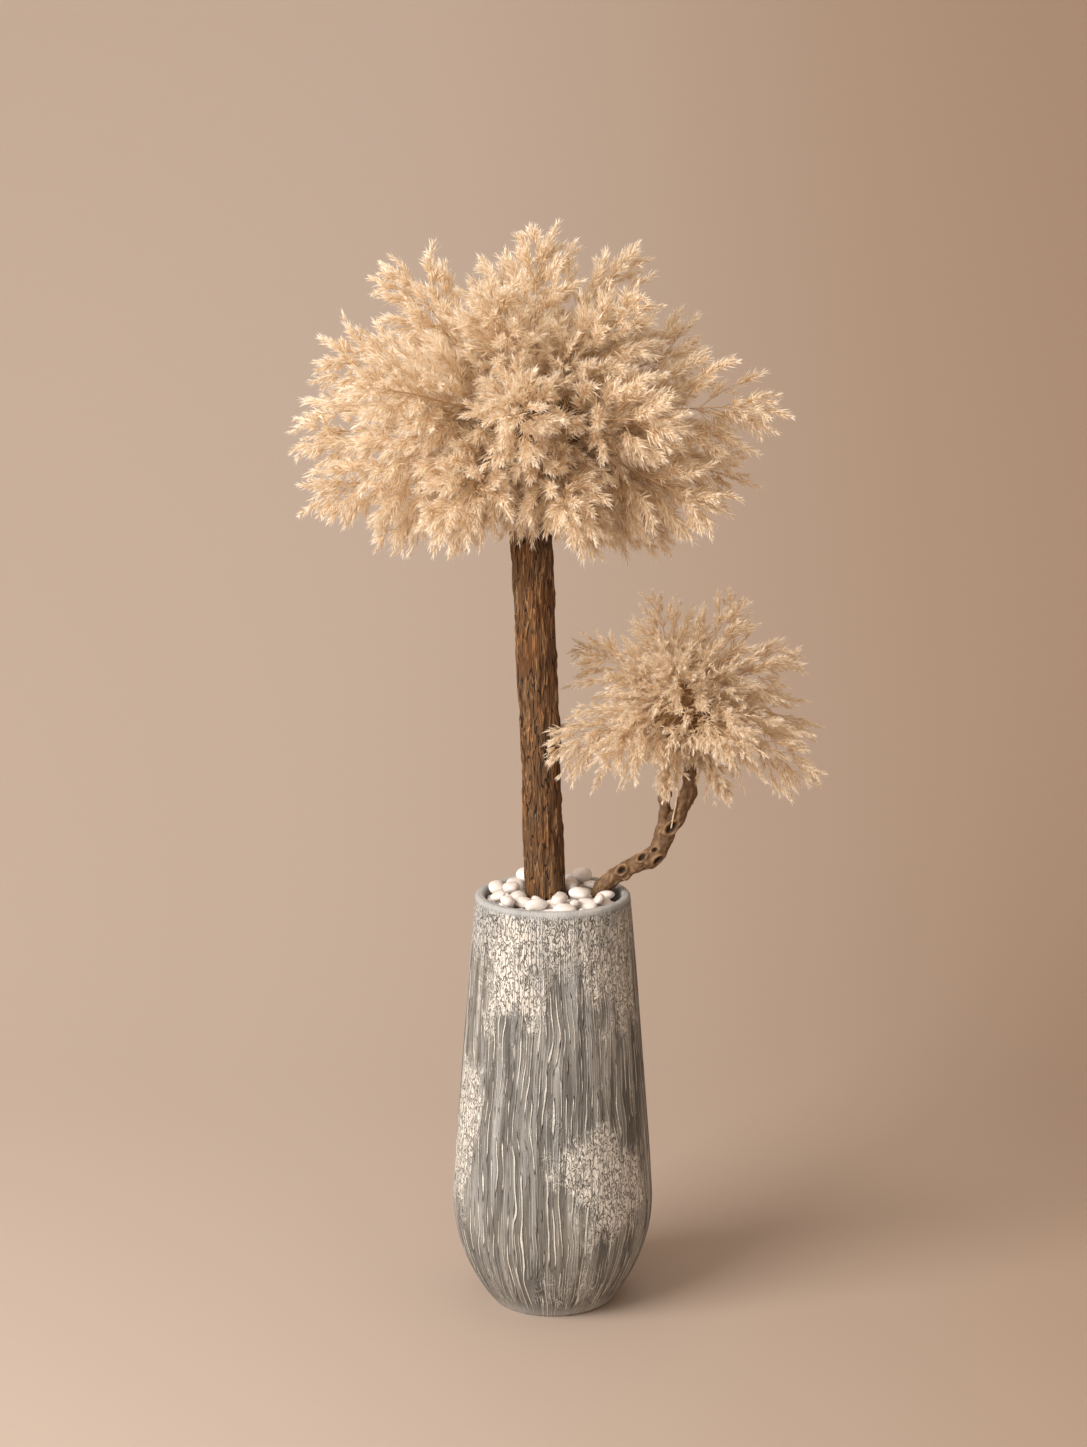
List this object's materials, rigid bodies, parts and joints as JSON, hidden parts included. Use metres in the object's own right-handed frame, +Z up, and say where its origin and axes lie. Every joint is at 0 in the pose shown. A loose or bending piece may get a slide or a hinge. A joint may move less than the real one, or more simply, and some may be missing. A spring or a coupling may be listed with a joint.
{
  "type": "pampas grass tree in planter",
  "caption": "Tall carved planter with pebbles, a bark trunk under a round head of dried pampas plumes, and a driftwood branch with a small head.",
  "frame": {"origin": "centre of the planter's flat underside, on the surface it stands on", "axes": "+Z up along the planter's axis, +X towards the side that the driftwood branch leans to, -Y towards the viewer of the picture"},
  "size_m": [0.7623, 0.5912, 1.5626],
  "materials": {
    "carved_fibre_clay": "matte",
    "potting_fill": "matte",
    "bark": "matte",
    "driftwood": "matte",
    "dry_foam": "matte",
    "dried_plume": "matte",
    "white_pebble": "satin"
  },
  "bodies": {
    "root": {"planter": "carved_fibre_clay", "planting_fill": "potting_fill", "trunk": "bark", "driftwood_branch": "driftwood", "crown_ball": "dry_foam", "small_crown_ball": "dry_foam", "crown_plume_01": "dried_plume", "crown_plume_02": "dried_plume", "crown_plume_03": "dried_plume", "crown_plume_04": "dried_plume", "crown_plume_05": "dried_plume", "crown_plume_06": "dried_plume", "crown_plume_07": "dried_plume", "crown_plume_08": "dried_plume", "crown_plume_09": "dried_plume", "crown_plume_10": "dried_plume", "crown_plume_11": "dried_plume", "crown_plume_12": "dried_plume", "crown_plume_13": "dried_plume", "crown_plume_14": "dried_plume", "crown_plume_15": "dried_plume", "crown_plume_16": "dried_plume", "crown_plume_17": "dried_plume", "crown_plume_18": "dried_plume", "crown_plume_19": "dried_plume", "crown_plume_20": "dried_plume", "crown_plume_21": "dried_plume", "crown_plume_22": "dried_plume", "crown_plume_23": "dried_plume", "crown_plume_24": "dried_plume", "crown_plume_25": "dried_plume", "crown_plume_26": "dried_plume", "crown_plume_27": "dried_plume", "crown_plume_28": "dried_plume", "crown_plume_29": "dried_plume", "crown_plume_30": "dried_plume", "small_plume_01": "dried_plume", "small_plume_02": "dried_plume", "small_plume_03": "dried_plume", "small_plume_04": "dried_plume", "small_plume_05": "dried_plume", "small_plume_06": "dried_plume", "small_plume_07": "dried_plume", "small_plume_08": "dried_plume", "small_plume_09": "dried_plume", "small_plume_10": "dried_plume", "small_plume_11": "dried_plume", "small_plume_12": "dried_plume", "small_plume_13": "dried_plume", "small_plume_14": "dried_plume", "pebble_01": "white_pebble", "pebble_02": "white_pebble", "pebble_03": "white_pebble", "pebble_04": "white_pebble", "pebble_05": "white_pebble", "pebble_06": "white_pebble", "pebble_07": "white_pebble", "pebble_08": "white_pebble", "pebble_09": "white_pebble", "pebble_10": "white_pebble"}
  },
  "joints": []
}
